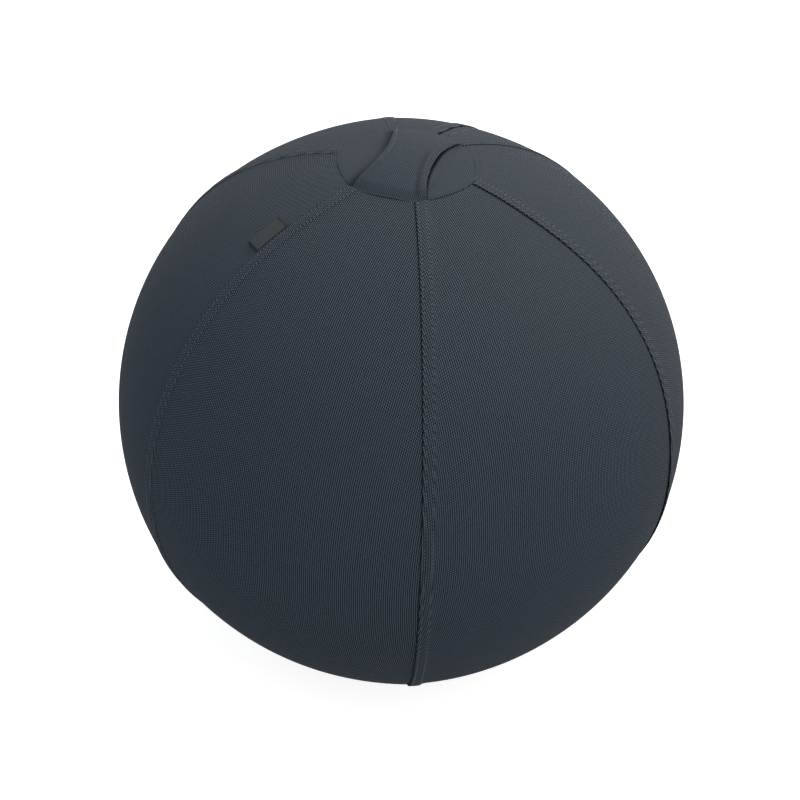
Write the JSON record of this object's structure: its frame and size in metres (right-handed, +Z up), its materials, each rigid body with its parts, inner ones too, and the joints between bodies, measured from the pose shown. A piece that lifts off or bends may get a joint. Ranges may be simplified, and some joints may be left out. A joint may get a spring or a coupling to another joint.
{
  "type": "sitting ball",
  "caption": "Inflated sitting ball in a sewn fabric cover with lapped seams, a carrying strap over the top, a zip down the back and a weighted ring in its flat base.",
  "frame": {"origin": "centre of the flat base, on the floor", "axes": "+Z up through the middle of the top panel, +Y towards the zip at the back, -Y towards the panel that faces front, +X to the right"},
  "size_m": [0.6594, 0.6512, 0.6507],
  "materials": {
    "cover_fabric": "dark slate grey woven upholstery fabric with a fine diagonal rib",
    "strap_fabric": "dark slate grey woven fabric, doubled and hemmed",
    "base_fabric": "coarse dark woven fabric with a grippy back",
    "tag_fabric": "dark grey green woven ribbon, bare",
    "zip_tape": "woven tape",
    "zip_coil": "moulded nylon coil",
    "zip_metal": "dark enamelled zinc",
    "inner_pvc": "soft smooth grey PVC",
    "plug_plastic": "smooth pale plastic",
    "pouch_fabric": "plain woven lining",
    "sand": "dry sand"
  },
  "bodies": {
    "cover": {"panel_front": "cover_fabric", "panel_right_front": "cover_fabric", "panel_right_back": "cover_fabric", "panel_back_right_half": "cover_fabric", "panel_back_left_half": "cover_fabric", "panel_left_back": "cover_fabric", "panel_left_front": "cover_fabric", "top_panel": "cover_fabric", "base_panel": "base_fabric", "carrying_strap": "strap_fabric", "side_tag": "tag_fabric", "zip_tape_right": "zip_tape", "zip_tape_left": "zip_tape", "zip_coil_right": "zip_coil", "zip_coil_left": "zip_coil", "zip_stop_upper": "zip_metal", "zip_stops_lower": "zip_metal", "inner_ball": "inner_pvc", "valve_seat": "inner_pvc", "valve_plug": "plug_plastic", "ring_pouch": "pouch_fabric", "ring_fill": "sand"},
    "slider": {"zip_slider": "zip_metal"},
    "pull_tab": {"zip_pull_tab": "zip_metal"}
  },
  "joints": [
    {"name": "zip_travel", "type": "hinge", "parent": "cover", "child": "slider", "pos_m": [0, 0, 0.31369], "axis": [1, 0, 0], "range_deg": [0, 102], "deforming": ["zip_coil_right", "zip_coil_left"]},
    {"name": "pull_tab_swing", "type": "hinge", "parent": "slider", "child": "pull_tab", "pos_m": [0, 0.28377, 0.15039], "axis": [1, 0, 0], "range_deg": [-28, 148]}
  ]
}
